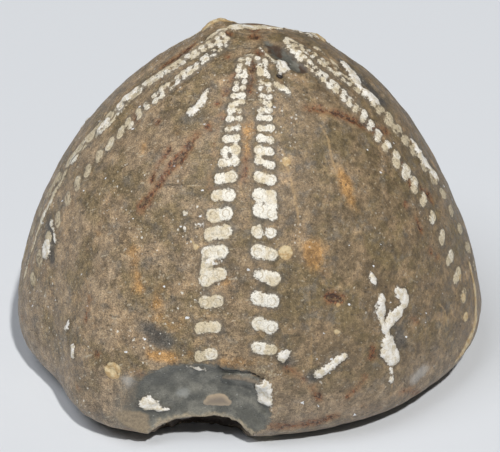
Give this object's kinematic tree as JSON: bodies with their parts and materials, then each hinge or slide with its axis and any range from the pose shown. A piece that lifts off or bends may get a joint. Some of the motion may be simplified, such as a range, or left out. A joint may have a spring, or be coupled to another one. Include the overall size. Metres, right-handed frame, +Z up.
{
  "type": "fossil sea urchin",
  "caption": "Fossil helmet-shaped sea urchin in mottled grey-brown flint, with rows of cream pore fillings, chalk crusts and a chipped rim, standing on its flat sole.",
  "frame": {"origin": "middle of the footprint, on the flat sole", "axes": "+Z up through the crown, -Y towards the front of the animal (the chipped side), +X to its left as it faces -Y"},
  "size_m": [0.0622, 0.057, 0.0446],
  "materials": {
    "flint_patina": "mottled grey-brown weathered flint with a satin skin, cream pore fillings, white chalk crusts, rust veins and a dark glossy chip"
  },
  "bodies": {
    "root": {"flint_urchin": "flint_patina"}
  },
  "joints": []
}
